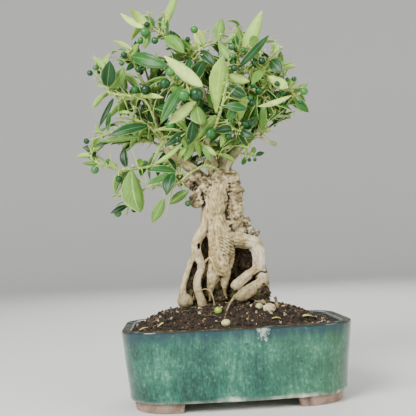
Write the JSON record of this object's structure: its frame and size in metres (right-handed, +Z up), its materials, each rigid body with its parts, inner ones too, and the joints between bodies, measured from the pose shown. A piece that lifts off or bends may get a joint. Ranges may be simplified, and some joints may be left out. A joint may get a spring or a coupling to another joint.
{
  "type": "citrus bonsai",
  "caption": "Citrus bonsai with knotted trunk, exposed roots, narrow leaves, thorns and small green fruits, in a glazed soft-rectangular pot on short clay feet.",
  "frame": {"origin": "centre of the bounding box at the surface that the pot's feet stand on", "axes": "+Z up, +X to the right of the pot's long front, +Y to the back"},
  "size_m": [0.2414, 0.147, 0.3983],
  "materials": {
    "glaze": "gloss",
    "mesh_plastic": "matte",
    "compost": "matte",
    "bark": "matte",
    "foliage": "satin",
    "fruit": "satin",
    "shell": "satin",
    "dry_leaf": "matte",
    "dead_wood": "matte"
  },
  "bodies": {
    "root": {"pot": "glaze", "drain_screen_left": "mesh_plastic", "drain_screen_right": "mesh_plastic", "soil": "compost", "trunk": "bark", "leafy_stem_top_left": "foliage", "leafy_stem_left_high": "foliage", "leafy_stem_far_left_high": "foliage", "leafy_stem_left_middle": "foliage", "leafy_stem_far_left_low": "foliage", "leafy_stem_low_left": "foliage", "leafy_stem_front_left": "foliage", "leafy_stem_front_middle": "foliage", "leafy_stem_top_middle": "foliage", "leafy_stem_right_top": "foliage", "leafy_stem_right_upper": "foliage", "leafy_stem_far_right": "foliage", "leafy_stem_right_low": "foliage", "leafy_stem_middle_low": "foliage", "leafy_stem_middle_right_low": "foliage", "leafy_stem_inner_left": "foliage", "leafy_stem_inner_right": "foliage", "leafy_stem_back_low_right": "foliage", "leafy_stem_back_middle": "foliage", "leafy_stem_back_low_left": "foliage", "leafy_stem_back_left": "foliage", "leafy_stem_back_left_high": "foliage", "leafy_stem_back_top": "foliage", "leafy_stem_back_right_high": "foliage", "leafy_stem_back_right": "foliage", "leafy_stem_back_inner": "foliage", "leafy_stem_left_back_low": "foliage", "fallen_fruit": "fruit", "fallen_fruit_half": "fruit", "shell_pebble": "shell", "green_pebble": "shell", "fallen_leaf": "dry_leaf", "twig_stub": "dead_wood"}
  },
  "joints": []
}
